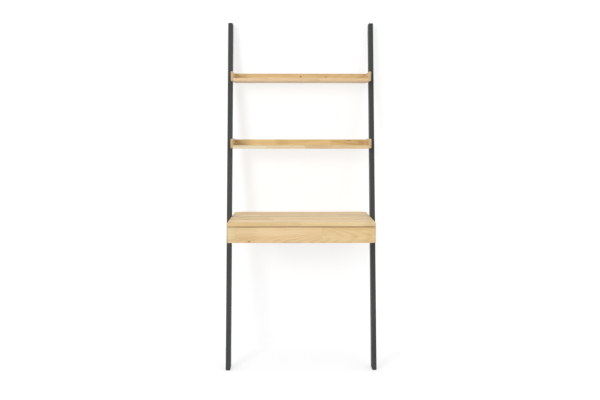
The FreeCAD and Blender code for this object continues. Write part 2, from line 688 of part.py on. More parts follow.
# One runner: the fixed member, the ball cage and the moving member
def make_runner(side):
    height, width, sheet = "dims.runner_height", "dims.runner_width", "dims.runner_sheet"
    corner = (corner_x(side, RUNNER_FACE, width), RUNNER_Y, RUNNER_Z)

    def spot(depth, rise):
        """A point of the section: its depth from the desk's side and its rise in the runner."""
        return (x_at(side, f"{RUNNER_FACE} - ({depth})"), f"({RUNNER_Z} + {rise})")

    def channel(web_near, web_far, tip, low, thick):
        """A C-shaped section with its web on one side and two flanges that end at the tip."""
        high = f"({height} - ({low}))"
        inner_low, inner_high = f"({low} + {thick})", f"({high} - {thick})"
        return [
            spot(web_near, low),
            spot(tip, low),
            spot(tip, inner_low),
            spot(web_far, inner_low),
            spot(web_far, inner_high),
            spot(tip, inner_high),
            spot(tip, high),
            spot(web_near, high),
        ]

    high_rise = f"({height} - {BALL_RISE})"
    tracks = [spot(BALL_DEPTH, BALL_RISE), spot(BALL_DEPTH, high_rise)]
    screws = [(y, RUNNER_MID_Z) for y in runner_screws()]

    fixed_section = channel("0", sheet, FLANGE_REACH, "0", sheet)
    fixed = pad_outline(f"runner_cabinet_{side}", corner, "Y", fixed_section, RUNNER_LENGTH)
    bore(fixed, "Y", tracks, BALL_HOLE, RUNNER_Y, RUNNER_LENGTH)
    bore(fixed, "X", screws, SCREW_HOLE, inward_start(side, RUNNER_FACE, sheet), sheet)

    moving_section = channel(width, f"({width} - {sheet})", FLANGE_TIP, f"({sheet} + {BALL_GAP})", sheet)
    moving = pad_outline(f"runner_drawer_{side}", corner, "Y", moving_section, RUNNER_LENGTH)
    bore(moving, "Y", tracks, BALL_HOLE, RUNNER_Y, RUNNER_LENGTH)
    web_start = outward_start(side, f"{RUNNER_FACE} - {width}", sheet)
    bore(moving, "X", screws, SCREW_HOLE, web_start, sheet)

    tab_low = f"({BALL_RISE} - dims.cage_sheet / 2)"
    cage_section = channel(CAGE_NEAR, CAGE_FAR, CAGE_REACH, tab_low, "dims.cage_sheet")
    cage_corner = (corner[0], CAGE_Y, RUNNER_Z)
    cage = pad_outline(f"ball_cage_{side}", cage_corner, "Y", cage_section, "dims.cage_length")
    ball_x = spot(BALL_DEPTH, BALL_RISE)[0]
    pitch = f"((dims.cage_length - 2 * dims.ball_end_room) / {BALLS_PER_ROW - 1})"
    ball_ys = [f"({CAGE_Y} + dims.ball_end_room + {index} * {pitch})" for index in range(BALLS_PER_ROW)]
    bore(cage, "Z", [(ball_x, y) for y in ball_ys], BALL_HOLE, RUNNER_Z, height)

    ball = doc.addObject("Part::Sphere", f"ball_{side}")
    ball.setExpression("Radius", "dims.ball_dia / 2")
    balls = [((ball_x, y, z), UP) for y in ball_ys for _, z in tracks]
    group(f"runner_balls_{side}", ball, balls)


# Fasteners, bumpers and dowels
def make_rail_bolts():
    length = f"dims.rail_thick - dims.bolt_sink + {INSERT_LENGTH} - dims.bolt_tip_room"
    head = ("dims.bolt_head_dia", "-dims.bolt_head_thick", "dims.bolt_head_thick")
    plain = turned("bolt_blank", [head, ("dims.bolt_dia", "0", length)])
    key = doc.addObject("Part::Prism", "bolt_key_socket")
    key.Polygon = 6
    key.setExpression("Circumradius", "dims.bolt_key / sqrt(3)")
    key.setExpression("Height", "dims.bolt_key_depth")
    key.setExpression("Placement.Base.z", "-dims.bolt_head_thick")
    bolt = cut_from("bolt_master", plain, key)
    sleeve = turned("insert_blank", [("dims.insert_dia", "0", INSERT_LENGTH)])
    thread = turned("insert_thread", [("dims.bolt_dia + 2 * dims.thread_clear", "0", INSERT_LENGTH)])
    insert = cut_from("insert_master", sleeve, thread)

    places = desk_bolts()
    for height, _, _ in SHELVES.values():
        places += shelf_bolts(height)
    heads, mouths = [], []
    for side in SIDES:
        head_x = x_at(side, f"{RAIL_FACE} - dims.bolt_sink")
        heads += [((head_x, y, z), INWARD[side]) for y, z in places]
        mouths += [((x_at(side, HALF_WIDTH), y, z), INWARD[side]) for y, z in places]
    group("rail_bolts", bolt, heads)
    group("threaded_inserts", insert, mouths)


def make_dowels():
    dowel = turned("dowel_master", [("dims.dowel_dia", "0", "dims.dowel_length")])
    face = "dims.dowel_face_depth"
    shelf, desk, drawer = [], [], []
    for side in SIDES:
        shelf_x = x_at(side, f"{HALF_WIDTH} - dims.cheek_thick + {face}")
        for height, lead, back_height in SHELVES.values():
            ends = board_dowels(height, lead) + [back_end_dowel(height, lead, back_height)]
            shelf += [((shelf_x, y, z), INWARD[side]) for y, z in ends]
        desk_x = x_at(side, f"{RUNNER_FACE} + {face}")
        desk += [((desk_x, y, z), INWARD[side]) for y, z in desk_corner_dowels()]
        side_x = x_at(side, f"{HALF_WIDTH} - dims.desk_panel_thick / 2")
        desk += [((side_x, y, f"({DESK_UNDER} + {face})"), DOWN) for y in desk_side_dowels()]
        drawer_x = x_at(side, f"{BOX_INNER} / 2 + {face}")
        front_y = f"({BOX_Y} + dims.drawer_panel_thick / 2)"
        rear_y = f"({BOX_Y} + {BOX_DEPTH} - dims.drawer_panel_thick / 2)"
        corners_of_box = drawer_dowels(front_y) + drawer_dowels(rear_y)
        drawer += [((drawer_x, y, z), INWARD[side]) for y, z in corners_of_box]
    for height, lead, back_height in SHELVES.values():
        foot_y = back_end_dowel(height, lead, back_height)[0]
        foot_z = f"({height} + dims.shelf_board_thick - {face})"
        shelf += [((x, foot_y, foot_z), UP) for x in back_foot_dowels()]
    back_y = f"({FRONT_Y} + dims.desk_depth - dims.desk_panel_thick / 2)"
    desk += [((x, back_y, f"({DESK_UNDER} + {face})"), DOWN) for x in desk_back_dowels()]
    group("shelf_dowels", dowel, shelf)
    group("desk_dowels", dowel, desk)
    group("drawer_dowels", dowel, drawer)


def screw_master(name, length):
    """A pan-headed screw along Z, its head below the origin, with a cross recess."""
    head = ("dims.screw_head_dia", "-dims.screw_head_thick", "dims.screw_head_thick")
    blank = turned(f"{name}_blank", [head, ("dims.screw_dia", "0", length)])
    slots = []
    sizes = ("dims.screw_slot_length", "dims.screw_slot_width")
    for across, deep in (sizes, sizes[::-1]):
        slot = doc.addObject("Part::Box", f"{name}_slot")
        slot.setExpression("Length", across)
        slot.setExpression("Width", deep)
        slot.setExpression("Height", "dims.screw_slot_depth")
        slot.setExpression("Placement.Base.x", f"-{across} / 2")
        slot.setExpression("Placement.Base.y", f"-{deep} / 2")
        slot.setExpression("Placement.Base.z", "-dims.screw_head_thick")
        slots.append(slot)
    recess = doc.addObject("Part::MultiFuse", f"{name}_recess")
    recess.Shapes = slots
    return cut_from(f"{name}_master", blank, recess)


def make_screws():
    runner_screw = screw_master("runner_screw", "dims.runner_screw_length")
    front_screw = screw_master("front_screw", "dims.front_screw_length")
    bottom_screw = screw_master("bottom_screw", "dims.bottom_screw_length")
    fixed, moving = [], []
    for side in SIDES:
        fixed_x = x_at(side, f"{RUNNER_FACE} - dims.runner_sheet")
        moving_x = x_at(side, f"{RUNNER_FACE} - dims.runner_width + dims.runner_sheet")
        fixed += [((fixed_x, y, RUNNER_MID_Z), OUTWARD[side]) for y in runner_screws()]
        moving += [((moving_x, y, RUNNER_MID_Z), INWARD[side]) for y in runner_screws()]
    group("cabinet_runner_screws", runner_screw, fixed)
    group("drawer_runner_screws", runner_screw, moving)
    seat_y = f"({BOX_Y} + dims.drawer_panel_thick)"
    group("drawer_front_screws", front_screw, [((x, seat_y, RUNNER_MID_Z), FORWARD) for x in front_screws()])
    screw_y = f"({BOX_Y} + {BOX_DEPTH} - dims.drawer_panel_thick / 2)"
    under_z = f"({BOX_Z} + dims.drawer_bottom_rise)"
    group("drawer_bottom_screws", bottom_screw, [((x, screw_y, under_z), UP) for x in bottom_screws()])


def make_bumpers():
    bumper = turned("bumper_master", [("dims.bumper_dia", "0", "dims.front_gap")])
    z = f"({DESK_SIDE_Z} + dims.desk_side_height / 2)"
    xs = [x_at(side, f"{HALF_WIDTH} - dims.desk_panel_thick / 2") for side in SIDES]
    group("drawer_bumpers", bumper, [((x, BOX_Y, z), BACKWARD) for x in xs])


for side in SIDES:
    make_rail(side)
    make_pads(side)
make_wall_hole(*make_shelf("top"))
make_shelf("lower")
make_desk()
make_drawer_front()
make_drawer_box()
for side in SIDES:
    make_runner(side)
make_rail_bolts()
make_dowels()
make_screws()
make_bumpers()
doc.recompute()

# Every piece must be whole before any file is written
for item in doc.Objects:
    if {"Invalid", "Error"} & set(item.State):
        raise ValueError(f"{item.Label} failed: {item.State}")
for node in nodes:
    if node.Shape.isNull() or not node.Shape.isValid():
        raise ValueError(f"{node.Label} has no valid shape")

os.makedirs("parts", exist_ok=True)
for node in nodes:
    node.Shape.exportStep(f"parts/{node.Label}.step")
print(len(nodes), "nodes, drawer travel", round(value(DRAWER_TRAVEL), 3))
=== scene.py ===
import math
from collections import namedtuple

import bpy
from mathutils import Matrix, Vector


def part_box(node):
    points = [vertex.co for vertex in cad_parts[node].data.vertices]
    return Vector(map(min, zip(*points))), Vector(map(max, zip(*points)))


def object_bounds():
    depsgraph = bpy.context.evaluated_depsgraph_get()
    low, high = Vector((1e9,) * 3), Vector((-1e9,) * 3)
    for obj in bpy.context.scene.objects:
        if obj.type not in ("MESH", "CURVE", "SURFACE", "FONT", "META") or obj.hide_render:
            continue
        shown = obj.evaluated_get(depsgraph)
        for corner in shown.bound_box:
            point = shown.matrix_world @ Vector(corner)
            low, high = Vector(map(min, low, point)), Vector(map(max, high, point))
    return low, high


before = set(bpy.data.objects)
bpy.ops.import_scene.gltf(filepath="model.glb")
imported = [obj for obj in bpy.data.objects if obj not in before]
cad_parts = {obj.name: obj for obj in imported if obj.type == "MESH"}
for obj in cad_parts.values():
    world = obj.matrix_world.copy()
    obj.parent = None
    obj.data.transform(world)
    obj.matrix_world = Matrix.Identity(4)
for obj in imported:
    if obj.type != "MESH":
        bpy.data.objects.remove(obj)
cad_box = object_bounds()

# Looks of a desk that leans on a wall: dark painted rails, pale wooden trays and a wooden desk with a
# drawer. Lengths are in metres, with X to the right, Y towards the wall and Z up.

WALL_Y = cad_box[1][1]
SIDES = ("left", "right")
SHELVES = ("top", "lower")

# Parts of a noise texture's range from 0 to 1
MIDDLE = (0.3, 0.7)
UPPER = (0.35, 0.7)
NARROW = (0.35, 0.65)
WIDE = (0.25, 0.75)


class Shader:
    """One material's node tree, built by short calls."""

    def __init__(self, name):
        self.material = bpy.data.materials.new(name)
        self.material.use_nodes = True
        self.tree = self.material.node_tree
        self.surface = self.tree.nodes["Principled BSDF"]
        self.output = self.tree.nodes["Material Output"]

    def node(self, kind, inputs=None, **settings):
        node = self.tree.nodes.new(f"ShaderNode{kind}")
        for key, setting in settings.items():
            setattr(node, key, setting)
        for key, given in (inputs or {}).items():
            self.feed(node.inputs[key], given)
        return node

    def feed(self, socket, given):
        if isinstance(given, bpy.types.NodeSocket):
            self.tree.links.new(given, socket)
        else:
            socket.default_value = given

    def math(self, operation, *values):
        return self.node("Math", dict(enumerate(values)), operation=operation).outputs[0]

    def total(self, *values):
        result = values[0]
        for value in values[1:]:
            result = self.math("ADD", result, value)
        return result

    def axes(self, vector):
        return dict(zip("XYZ", self.node("SeparateXYZ", {0: vector}).outputs))

    def vector(self, x, y, z):
        return self.node("CombineXYZ", {0: x, 1: y, 2: z}).outputs[0]

    def length(self, vector):
        return self.node("VectorMath", {0: vector}, operation="LENGTH").outputs["Value"]

    def place(self):
        """The point's place in the desk's frame, which moves with its body."""
        return self.node("TexCoord").outputs["Object"]

    def stretched(self, point, scales):
        return self.node("VectorMath", {0: point, 1: scales}, operation="MULTIPLY").outputs[0]

    def noise(self, point, scales, detail=2.0, roughness=0.5):
        settings = {"Vector": self.stretched(point, scales), "Scale": 1.0}
        return self.node("TexNoise", settings | {"Detail": detail, "Roughness": roughness}).outputs[0]

    def chance(self, point):
        """Three random numbers from 0 to 1 for a cell."""
        colour = self.node("TexWhiteNoise", {"Vector": point}, noise_dimensions="3D").outputs["Color"]
        return self.node("SeparateColor", {0: colour}).outputs

    def ramp(self, value, start, end, low=0.0, high=1.0, shape="SMOOTHSTEP"):
        numbers = {"Value": value, "From Min": start, "From Max": end, "To Min": low, "To Max": high}
        return self.node("MapRange", numbers, interpolation_type=shape).outputs[0]

    def spread(self, noise, low, high, span=MIDDLE):
        """A part of a noise's range brought between two values."""
        return self.ramp(noise, *span, low, high)

    def between(self, chance, low, high):
        """A number from 0 to 1 brought between two values."""
        return self.ramp(chance, 0.0, 1.0, low, high, "LINEAR")

    def mix(self, factor, first, second, blend="MIX"):
        node = self.node("Mix", data_type="RGBA", blend_type=blend)
        for index, given in ((0, factor), (6, first), (7, second)):
            self.feed(node.inputs[index], given)
        return node.outputs[2]

    def facing(self, axis):
        """How far the surface faces along an axis, from 0 to 1."""
        normal = self.axes(self.node("NewGeometry").outputs["Normal"])
        return self.math("ABSOLUTE", normal[axis])

    def bump(self, height, distance):
        normal = self.node("Bump", {"Height": height, "Strength": 1.0, "Distance": distance}).outputs[0]
        self.feed(self.surface.inputs["Normal"], normal)

    def finish(self, **values):
        """Feeds the surface's own sockets. Underscores stand for the spaces in their names."""
        for key, given in values.items():
            self.feed(self.surface.inputs[key.replace("_", " ")], given)
        return self.material


def linear(red, green, blue):
    """A screen colour from 0 to 255 as the linear colour that a shader takes, by the sRGB curve."""
    colour = []
    for part in (red / 255, green / 255, blue / 255):
        colour.append(part / 12.92 if part <= 0.04045 else ((part + 0.055) / 1.055) ** 2.4)
    return (*colour, 1.0)


# Wood. Its grain runs along the first axis, staves lie side by side on the second, and the third is the
# thickness. Its staves have even lengths, or are given piece by piece where the joints show.
Wood = namedtuple("Wood", "axes stave_width stave_length tones seed variety pieces marks arches",
                  defaults=[0.05, (), (), ()])
Piece = namedtuple("Piece", "start tint")
Mark = namedtuple("Mark", "along across half_length half_width strength")
Arches = namedtuple("Arches", "start end across heart taper")

# Tints of single staves, as factors of the board's tones
PLAIN = (1.0, 1.0, 1.0, 1.0)
PALE = (0.99, 1.11, 1.26, 1.0)
CREAM = (1.0, 1.1, 1.21, 1.0)
ROSY = (1.0, 0.93, 0.89, 1.0)
PEACH = (1.04, 1.0, 0.95, 1.0)
RUSSET = (0.85, 0.79, 0.76, 1.0)
AMBER = (0.92, 0.87, 0.82, 1.0)
TAN = (0.98, 0.96, 0.94, 1.0)
HONEY = (1.03, 1.0, 1.04, 1.0)
OCHRE = (0.98, 0.93, 0.88, 1.0)
STRAW = (0.96, 1.0, 1.03, 1.0)

# Staves and the fingers of their joints
FIRST_ROW_CUT = 0.2
ROW_CELL = 0.5
ROSY_START = 0.4
ROSY_SHARE = 8.0
FINGER_PITCH = 0.004
FINGER_LENGTH = 0.010
SEAM_HALF_WIDTH = 0.0005
SEAM_DEPTH = 0.45

# Growth rings
RING_WIDTH = 0.0055
RING_WAVER = 1.5
RING_TAPER = 0.1
HEART_DEPTH = 0.035
WAVER_SCALES = (5, 22, 22)
LATE_START = 0.3
LATE_PEAK = 0.85
LATE_DEPTH = 0.34
PATCH_SCALES = (9, 35, 35)
PATCH_LEAST = 0.25

# Figure, fibre and pores
STAVE_DRIFT = 7.0
FIGURE_SCALES = (1.6, 26, 26)
FIGURE_DEPTHS = (-0.06, 0.36)
FIBRE_SCALES = (7, 330, 330)
FIBRE_DEPTHS = (-0.1, 0.16)
PORE_SCALES = (45, 1100, 1100)
PORE_SPAN = (0.66, 0.78)
PORE_DEPTH = 0.35
PORE_BROWN = linear(150, 112, 68)
KNOT_BROWN = linear(128, 88, 46)
KNOT_CORE = 0.35
END_GRAIN_FACING = (0.6, 0.95)
END_GRAIN_DEPTH = 0.3

# Relief and gloss of oiled wood
FIBRE_RELIEF = 0.5
LATE_RELIEF = 0.25
PORE_RELIEF = -0.6
WOOD_BUMP = 0.00025
WOOD_GLOSS = (0.4, 0.5)
PORE_GLOSS = 0.15
WOOD_SPECULAR = 0.2


def even_staves(shader, wood, row, position):
    """Staves of one length in each row: random numbers, a tint, and the distance to the next joint."""
    columns = shader.math("DIVIDE", position, wood.stave_length)
    chances = shader.chance(shader.vector(row, shader.math("FLOOR", columns), wood.seed))
    brightness = shader.between(chances[0], 1.0 - wood.variety, 1.0 + wood.variety)
    rosy = shader.ramp(chances[1], ROSY_START, 1.0, 0.0, ROSY_SHARE * wood.variety)
    tint = shader.mix(rosy, PLAIN, ROSY)
    tint = shader.mix(1.0, tint, shader.vector(brightness, brightness, brightness), "MULTIPLY")
    to_joint = shader.math("MULTIPLY", shader.math("PINGPONG", columns, 0.5), wood.stave_length)
    return chances, tint, to_joint


def chosen_staves(shader, wood, row, position):
    """Staves that start where the pieces say, with the same three results."""
    column = 0.0
    tint = PLAIN
    to_joint = wood.stave_length
    for piece in wood.pieces:
        beyond = shader.math("GREATER_THAN", position, piece.start)
        column = shader.total(beyond, column)
        tint = shader.mix(beyond, tint, piece.tint)
        distance = shader.math("ABSOLUTE", shader.math("SUBTRACT", position, piece.start))
        to_joint = shader.math("MINIMUM", distance, to_joint)
    return shader.chance(shader.vector(row, column, wood.seed)), tint, to_joint


def stave_cells(shader, wood, along, across, through, row_start):
    """A point's stave: random numbers, its tint, its middle line, and the distance to its edges."""
    rows = shader.math("DIVIDE", shader.math("SUBTRACT", across, row_start), wood.stave_width)
    row = shader.math("FLOOR", rows)
    beyond_first = shader.math("MINIMUM", shader.math("ABSOLUTE", row), 1.0)
    row_chance = shader.chance(shader.vector(row, wood.seed, ROW_CELL))[0]
    shift = shader.math("MULTIPLY", shader.math("MULTIPLY", row_chance, beyond_first), wood.stave_length)
    fingers = shader.math("PINGPONG", through, FINGER_PITCH / 2)
    finger = shader.math("MULTIPLY", fingers, 2 * FINGER_LENGTH / FINGER_PITCH)
    position = shader.total(along, shift, finger)
    staves = chosen_staves if wood.pieces else even_staves
    chances, tint, to_joint = staves(shader, wood, row, position)
    from_start = shader.math("MULTIPLY", row, wood.stave_width)
    middle = shader.total(from_start, row_start + wood.stave_width / 2)
    to_side = shader.math("MULTIPLY", shader.math("PINGPONG", rows, 0.5), wood.stave_width)
    return chances, tint, middle, shader.math("MINIMUM", to_joint, to_side)


def growth_rings(shader, wood, point, chances, row_middle, depth_middle):
    """How far through its growth ring a point lies: arches and stripes on a face, rings on an end."""
    place = shader.axes(point)
    heart = shader.between(chances[1], HEART_DEPTH, 2 * HEART_DEPTH)
    offset = shader.between(chances[2], -2 * HEART_DEPTH, 2 * HEART_DEPTH)
    centre = shader.total(row_middle, offset)
    taper = shader.between(chances[0], -RING_TAPER, RING_TAPER)
    for arches in wood.arches:
        after = shader.math("GREATER_THAN", place["X"], arches.start)
        here = shader.math("MULTIPLY", after, shader.math("LESS_THAN", place["X"], arches.end))
        heart = shader.between(here, heart, arches.heart)
        centre = shader.between(here, centre, arches.across)
        taper = shader.between(here, taper, arches.taper)
    aside = shader.math("SUBTRACT", place["Y"], centre)
    depth = shader.total(place["Z"], heart, -depth_middle)
    radius = shader.length(shader.vector(0.0, aside, depth))
    slide = shader.math("MULTIPLY", place["X"], taper)
    waver = shader.math("MULTIPLY", shader.noise(point, WAVER_SCALES, detail=3.0), RING_WAVER)
    rings = shader.math("DIVIDE", shader.math("SUBTRACT", radius, slide), RING_WIDTH)
    return shader.math("FRACT", shader.total(rings, waver))


def darken_marks_and_shade(shader, wood, along, across, colour):
    """Darkens the small knots, the streaks and the faint brown patches that this board has, and painted
    shadow where a mark stands for one.
    """
    for mark in wood.marks:
        lengthwise = shader.math("DIVIDE", shader.math("SUBTRACT", along, mark.along), mark.half_length)
        crosswise = shader.math("DIVIDE", shader.math("SUBTRACT", across, mark.across), mark.half_width)
        reach = shader.length(shader.vector(lengthwise, crosswise, 0.0))
        depth = shader.ramp(reach, KNOT_CORE, 1.0, mark.strength, 0.0)
        colour = shader.mix(depth, colour, KNOT_BROWN)
    return colour


def make_wood(name, wood, low, high):
    """Wood for a board that reaches from its low corner to its high one."""
    shader = Shader(name)
    axis = shader.axes(shader.place())
    along, across, through = [axis[letter] for letter in wood.axes]
    width_axis, depth_axis = ["XYZ".index(letter) for letter in wood.axes[1:]]
    row_start = low[width_axis] - FIRST_ROW_CUT * wood.stave_width
    chances, tint, middle, seam = stave_cells(shader, wood, along, across, through, row_start)
    board = shader.vector(along, across, through)
    drift = [shader.math("MULTIPLY", chance, STAVE_DRIFT) for chance in chances]
    moved = [shader.total(part, move) for part, move in zip((along, across, through), drift)]
    own = shader.vector(*moved)

    depth_middle = (low[depth_axis] + high[depth_axis]) / 2
    ring = growth_rings(shader, wood, board, chances, middle, depth_middle)
    rise = shader.ramp(ring, LATE_START, LATE_PEAK)
    fall = shader.ramp(ring, LATE_PEAK, 1.0, 1.0, 0.0)
    patches = shader.spread(shader.noise(board, PATCH_SCALES), PATCH_LEAST, 1.0, NARROW)
    late_wood = shader.math("MULTIPLY", shader.math("MULTIPLY", rise, fall), patches)
    figure = shader.noise(own, FIGURE_SCALES, detail=3.0, roughness=0.6)
    fibre = shader.noise(own, FIBRE_SCALES, detail=3.0, roughness=0.6)
    pores = shader.ramp(shader.noise(own, PORE_SCALES, detail=1.0), *PORE_SPAN)

    darkness = shader.total(
        shader.spread(figure, *FIGURE_DEPTHS, WIDE),
        shader.math("MULTIPLY", late_wood, LATE_DEPTH),
        shader.spread(fibre, *FIBRE_DEPTHS),
    )
    light, dark = wood.tones
    colour = shader.mix(shader.between(darkness, 0.0, 1.0), light, dark)
    colour = shader.mix(1.0, colour, tint, "MULTIPLY")
    colour = shader.mix(shader.math("MULTIPLY", pores, PORE_DEPTH), colour, PORE_BROWN)
    colour = shader.mix(shader.ramp(seam, 0.0, SEAM_HALF_WIDTH, SEAM_DEPTH, 0.0), colour, KNOT_BROWN)
    colour = darken_marks_and_shade(shader, wood, along, across, colour)
    end_grain = shader.ramp(shader.facing(wood.axes[0]), *END_GRAIN_FACING, 0.0, END_GRAIN_DEPTH)
    colour = shader.mix(end_grain, colour, PORE_BROWN)

    relief = shader.total(
        shader.math("MULTIPLY", fibre, FIBRE_RELIEF),
        shader.math("MULTIPLY", late_wood, LATE_RELIEF),
        shader.math("MULTIPLY", pores, PORE_RELIEF),
    )
    shader.bump(relief, WOOD_BUMP)
    gloss = shader.total(shader.spread(fibre, *WOOD_GLOSS), shader.math("MULTIPLY", pores, PORE_GLOSS))
    return shader.finish(Base_Color=colour, Roughness=gloss, Specular_IOR_Level=WOOD_SPECULAR)


# Dark satin paint over wood: faint grain telegraphs through, and the roller leaves a fine stipple
PAINT_LIGHT = linear(65, 68, 65)
PAINT_DARK = linear(52, 55, 53)
RAIL_LEAN = math.radians(10.6)
PAINT_GRAIN_SCALES = (260, 260, 9)
PAINT_GRAIN_SHADES = (-0.1, 0.2)
PAINT_CLOUD_SCALES = (14, 14, 3)
PAINT_CLOUD_SHADES = (0.1, 0.75)
STIPPLE_SCALES = (900, 900, 900)
GRAIN_RELIEF = 0.7
STIPPLE_RELIEF = 0.3
PAINT_BUMP = 0.00018
PAINT_GLOSS = (0.54, 0.62)
STIPPLE_GLOSS = (-0.03, 0.05)
PAINT_SPECULAR = 0.3


def make_paint(name):
    shader = Shader(name)
    lean = {"Vector": shader.place(), "Rotation": (RAIL_LEAN, 0.0, 0.0)}
    upright = shader.node("Mapping", lean).outputs[0]
    grain = shader.noise(upright, PAINT_GRAIN_SCALES, detail=3.0, roughness=0.6)
    cloud = shader.noise(upright, PAINT_CLOUD_SCALES, detail=3.0)
    stipple = shader.noise(upright, STIPPLE_SCALES, detail=1.0)
    cloud_shade = shader.spread(cloud, *PAINT_CLOUD_SHADES)
    grain_shade = shader.spread(grain, *PAINT_GRAIN_SHADES, UPPER)
    colour = shader.mix(shader.total(cloud_shade, grain_shade), PAINT_DARK, PAINT_LIGHT)
    grain_height = shader.math("MULTIPLY", grain, GRAIN_RELIEF)
    stipple_height = shader.math("MULTIPLY", stipple, STIPPLE_RELIEF)
    shader.bump(shader.total(grain_height, stipple_height), PAINT_BUMP)
    gloss = shader.total(shader.spread(cloud, *PAINT_GLOSS), shader.spread(stipple, *STIPPLE_GLOSS))
    return shader.finish(Base_Color=colour, Roughness=gloss, Specular_IOR_Level=PAINT_SPECULAR)


# Pale plywood of the drawer's box: plain faces, and plies that show on the edges
PLY_PALE = linear(236, 218, 182)
PLY_TAN = linear(206, 176, 128)
PLY_GLUE = linear(150, 112, 70)
PLY_THICK = 0.0014
PLY_FIGURE_SCALES = (2.2, 17, 17)
PLY_FIGURE_SPAN = (0.3, 0.72)
PLY_FIGURE_DEPTH = 0.55
PLY_FIBRE_SCALES = (12, 420, 420)
PLY_FIBRE_DEPTH = 0.2
PLY_BAND_EDGE = (0.2, 0.3)
PLY_JOINT = 0.25
GLUE_HALF_WIDTH = 0.06
GLUE_DEPTH = 0.5
EDGE_FIBRE_DEPTH = 0.35
PLY_EDGE_FACING = (0.4, 0.8)
PLY_BUMP = 0.0002
PLY_GLOSS = (0.45, 0.58)
PLY_SPECULAR = 0.35


def make_plywood(name, axes):
    """Plywood whose face grain runs along the first axis and whose plies lie on the third."""
    shader = Shader(name)
    axis = shader.axes(shader.place())
    along, across, through = [axis[letter] for letter in axes]
    board = shader.vector(along, across, through)
    figure = shader.noise(board, PLY_FIGURE_SCALES, detail=4.0, roughness=0.6)
    fibre = shader.noise(board, PLY_FIBRE_SCALES)
    figure_shade = shader.spread(figure, 0.0, PLY_FIGURE_DEPTH, PLY_FIGURE_SPAN)
    fibre_shade = shader.spread(fibre, 0.0, PLY_FIBRE_DEPTH, UPPER)
    face = shader.mix(shader.total(figure_shade, fibre_shade), PLY_PALE, PLY_TAN)

    plies = shader.math("PINGPONG", shader.math("DIVIDE", through, 2 * PLY_THICK), 0.5)
    band = shader.ramp(plies, *PLY_BAND_EDGE)
    from_joint = shader.math("ABSOLUTE", shader.math("SUBTRACT", plies, PLY_JOINT))
    glue = shader.ramp(from_joint, 0.0, GLUE_HALF_WIDTH, GLUE_DEPTH, 0.0)
    edge = shader.mix(glue, shader.mix(band, PLY_PALE, PLY_TAN), PLY_GLUE)
    edge = shader.mix(shader.spread(fibre, 0.0, EDGE_FIBRE_DEPTH), edge, PLY_TAN)
    on_edge = shader.ramp(shader.facing(axes[2]), *PLY_EDGE_FACING, 1.0, 0.0)
    colour = shader.mix(on_edge, face, edge)

    shader.bump(fibre, PLY_BUMP)
    gloss = shader.spread(fibre, *PLY_GLOSS)
    return shader.finish(Base_Color=colour, Roughness=gloss, Specular_IOR_Level=PLY_SPECULAR)


# Plated metal with drawn streaks along the axis whose scale is smallest
Metal = namedtuple("Metal", "pale dark streak_scales low_gloss high_gloss")
RUNNER_ZINC = Metal(linear(206, 208, 212), linear(166, 169, 174), (700, 12, 700), 0.24, 0.42)
INSERT_ZINC = Metal(linear(208, 196, 160), linear(170, 152, 110), (30, 500, 500), 0.3, 0.45)
BOLT_BLACK = Metal(linear(62, 62, 64), linear(38, 38, 40), (60, 400, 400), 0.36, 0.5)
STREAK_DEPTH = 0.6
METAL_CLOUD_SCALES = (40, 40, 40)
METAL_CLOUD_DEPTH = 0.4
METAL_BUMP = 0.00008


def make_metal(name, metal):
    shader = Shader(name)
    place = shader.place()
    streak = shader.noise(place, metal.streak_scales, detail=3.0, roughness=0.6)
    cloud = shader.noise(place, METAL_CLOUD_SCALES, detail=3.0)
    streak_shade = shader.spread(streak, 0.0, STREAK_DEPTH)
    cloud_shade = shader.spread(cloud, 0.0, METAL_CLOUD_DEPTH)
    colour = shader.mix(shader.total(streak_shade, cloud_shade), metal.pale, metal.dark)
    shader.bump(streak, METAL_BUMP)
    gloss = shader.spread(streak, metal.low_gloss, metal.high_gloss, WIDE)
    return shader.finish(Base_Color=colour, Roughness=gloss, Metallic=1.0)


# Matt rubber with fine specks, each kind with a pale and a dark tone
PAD_TONES = (linear(60, 60, 60), linear(38, 38, 38))
BUMPER_TONES = (linear(226, 224, 218), linear(200, 198, 190))
SPECK_SCALES = (1500, 1500, 1500)
SPECK_DEPTH = 0.5
RUBBER_CLOUD_SCALES = (120, 120, 120)
RUBBER_CLOUD_DEPTH = 0.5
RUBBER_BUMP = 0.0002
RUBBER_GLOSS = (0.68, 0.85)
RUBBER_SPECULAR = 0.3


def make_rubber(name, pale, dark):
    shader = Shader(name)
    place = shader.place()
    speck = shader.noise(place, SPECK_SCALES)
    cloud = shader.noise(place, RUBBER_CLOUD_SCALES, detail=3.0)
    speck_shade = shader.spread(speck, 0.0, SPECK_DEPTH, UPPER)
    cloud_shade = shader.spread(cloud, 0.0, RUBBER_CLOUD_DEPTH)
    colour = shader.mix(shader.total(speck_shade, cloud_shade), pale, dark)
    shader.bump(speck, RUBBER_BUMP)
    gloss = shader.spread(cloud, *RUBBER_GLOSS)
    return shader.finish(Base_Color=colour, Roughness=gloss, Specular_IOR_Level=RUBBER_SPECULAR)


# The boards: tones, and the joints, knots, streaks, patches and arches that show on them, and a painted
# shadow at the lower tray back's left end
OAK = (linear(234, 210, 163), linear(202, 162, 102))
TRAY_BOARDS = {
    "top": (linear(232, 207, 167), linear(200, 161, 112)),
    "lower": (linear(234, 209, 168), linear(203, 166, 115)),
}
TRAY_BACKS = {
    "top": (linear(227, 202, 155), linear(188, 150, 96)),
    "lower": (linear(236, 210, 157), linear(198, 159, 97)),
}
CHEEK = (linear(230, 204, 165), linear(194, 157, 112))
BEECH = (linear(226, 198, 156), linear(190, 150, 104))

# A stave as large as these leaves a board without side seams, or a small piece without any joint
WHOLE_WIDTH = 0.2
WHOLE_LENGTH = 0.9

